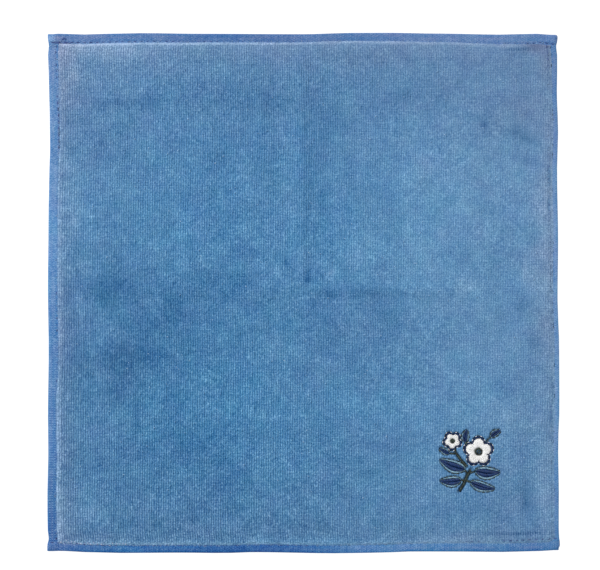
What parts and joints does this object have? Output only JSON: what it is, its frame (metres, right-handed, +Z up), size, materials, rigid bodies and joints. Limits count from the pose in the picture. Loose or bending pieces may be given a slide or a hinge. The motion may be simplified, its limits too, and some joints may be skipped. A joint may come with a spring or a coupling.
{
  "type": "hand towel",
  "caption": "Square hand towel of sheared terry with fine pile ribs, hemmed on all sides, lying flat, with an embroidered spray of leaves and blossoms in one corner.",
  "frame": {"origin": "middle of the underside, on the surface that the towel lies on", "axes": "+X towards the narrow side hem, +Y towards the end hem that is far from the embroidery, along the pile ribs, +Z up out of the pile"},
  "size_m": [0.2514, 0.2554, 0.0035],
  "materials": {
    "blue_pile": "sheared cotton terry, matt, with fine ribs",
    "navy_thread": "satin embroidery thread, soft shine",
    "cream_thread": "satin embroidery thread, soft shine",
    "olive_thread": "satin embroidery thread, soft shine"
  },
  "bodies": {
    "root": {"towel": "blue_pile", "leaf_1": "navy_thread", "leaf_2": "navy_thread", "leaf_3": "navy_thread", "leaf_4": "navy_thread", "leaf_5": "navy_thread", "leaf_6": "navy_thread", "leaf_7": "navy_thread", "stem": "olive_thread", "branch": "olive_thread", "blossom_large": "cream_thread", "blossom_small": "cream_thread", "centre_large": "olive_thread", "centre_small": "olive_thread"}
  },
  "joints": []
}
